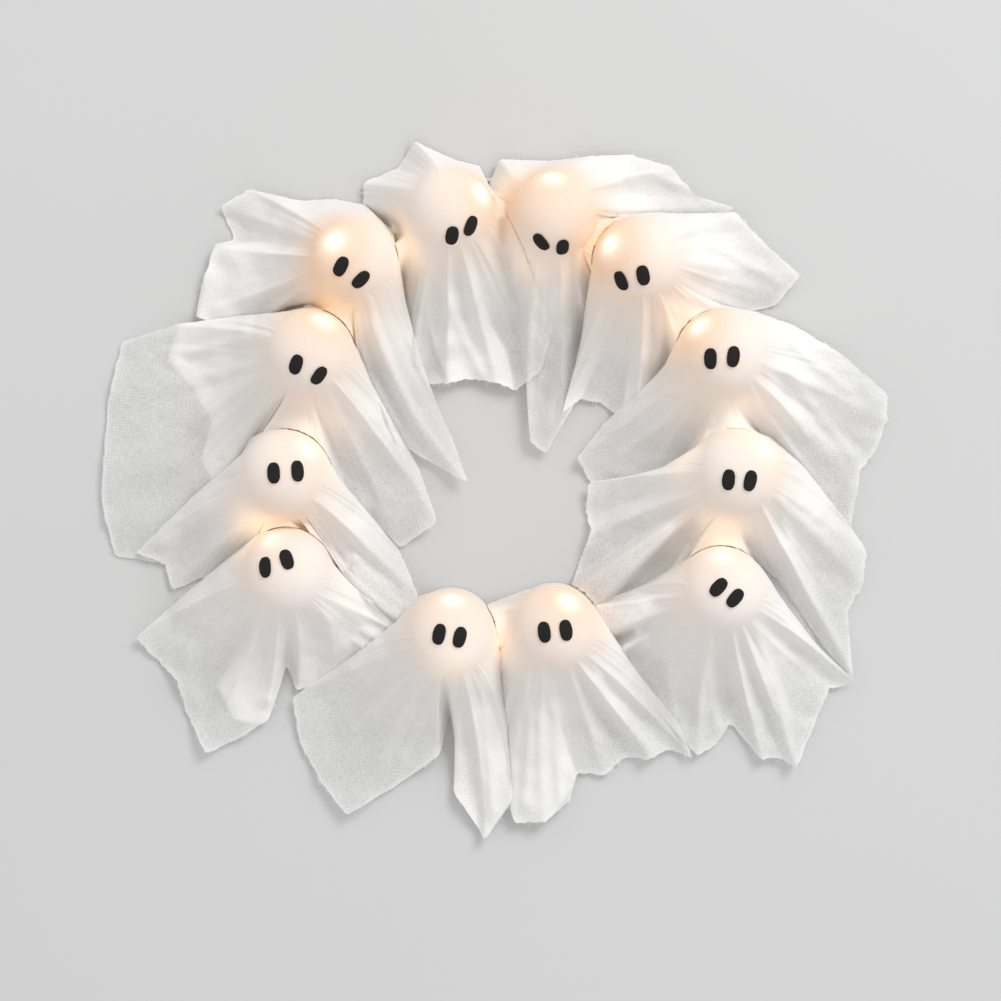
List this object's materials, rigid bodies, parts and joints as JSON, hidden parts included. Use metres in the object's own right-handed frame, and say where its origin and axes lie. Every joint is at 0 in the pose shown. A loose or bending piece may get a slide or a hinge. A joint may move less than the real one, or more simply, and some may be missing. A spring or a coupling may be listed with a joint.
{
  "type": "lit halloween wreath",
  "caption": "Lit wall wreath of draped gauze ghosts with felt eyes on a raised wire ring, with a string of lights and a switched battery case behind.",
  "frame": {"origin": "middle of the wreath's outline, in the plane of the wall it hangs on or the floor it lies on", "axes": "+Z out of the wall towards the viewer, +Y up the wall, towards the top of the wreath, +X to the viewer's right"},
  "size_m": [0.6118, 0.5447, 0.0887],
  "materials": {
    "white_gauze": "open-weave cotton gauze, matt, slightly see-through",
    "black_felt": "black craft felt",
    "white_foam": "white expanded foam",
    "painted_wire": "white painted steel wire",
    "clear_lead": "clear insulated copper lead with clear resin beads",
    "white_plastic": "moulded white plastic",
    "black_plastic": "moulded black plastic",
    "plated_steel": "nickel-plated spring steel",
    "cell_sleeve": "plain printed sleeve without lettering"
  },
  "bodies": {
    "wreath": {"ghost_01_head": "white_foam", "ghost_01_gauze": "white_gauze", "ghost_01_eye_1": "black_felt", "ghost_01_eye_2": "black_felt", "ghost_02_head": "white_foam", "ghost_02_gauze": "white_gauze", "ghost_02_eye_1": "black_felt", "ghost_02_eye_2": "black_felt", "ghost_03_head": "white_foam", "ghost_03_gauze": "white_gauze", "ghost_03_eye_1": "black_felt", "ghost_03_eye_2": "black_felt", "ghost_04_head": "white_foam", "ghost_04_gauze": "white_gauze", "ghost_04_eye_1": "black_felt", "ghost_04_eye_2": "black_felt", "ghost_05_head": "white_foam", "ghost_05_gauze": "white_gauze", "ghost_05_eye_1": "black_felt", "ghost_05_eye_2": "black_felt", "ghost_06_head": "white_foam", "ghost_06_gauze": "white_gauze", "ghost_06_eye_1": "black_felt", "ghost_06_eye_2": "black_felt", "ghost_07_head": "white_foam", "ghost_07_gauze": "white_gauze", "ghost_07_eye_1": "black_felt", "ghost_07_eye_2": "black_felt", "ghost_08_head": "white_foam", "ghost_08_gauze": "white_gauze", "ghost_08_eye_1": "black_felt", "ghost_08_eye_2": "black_felt", "ghost_09_head": "white_foam", "ghost_09_gauze": "white_gauze", "ghost_09_eye_1": "black_felt", "ghost_09_eye_2": "black_felt", "ghost_10_head": "white_foam", "ghost_10_gauze": "white_gauze", "ghost_10_eye_1": "black_felt", "ghost_10_eye_2": "black_felt", "ghost_11_head": "white_foam", "ghost_11_gauze": "white_gauze", "ghost_11_eye_1": "black_felt", "ghost_11_eye_2": "black_felt", "ghost_12_head": "white_foam", "ghost_12_gauze": "white_gauze", "ghost_12_eye_1": "black_felt", "ghost_12_eye_2": "black_felt", "wire_frame": "painted_wire", "light_string": "clear_lead", "battery_case": "white_plastic", "battery_door": "white_plastic", "door_screw": "plated_steel", "battery_cell_1": "cell_sleeve", "battery_cell_2": "cell_sleeve", "battery_cell_3": "cell_sleeve", "contact_plate_left": "plated_steel", "contact_plate_right": "plated_steel"},
    "switch": {"switch_knob": "black_plastic"}
  },
  "joints": [
    {"name": "switch_slide", "type": "slide", "parent": "wreath", "child": "switch", "axis": [-0.6494, -0.7604, 0], "range_m": [0, 0.0025]}
  ]
}
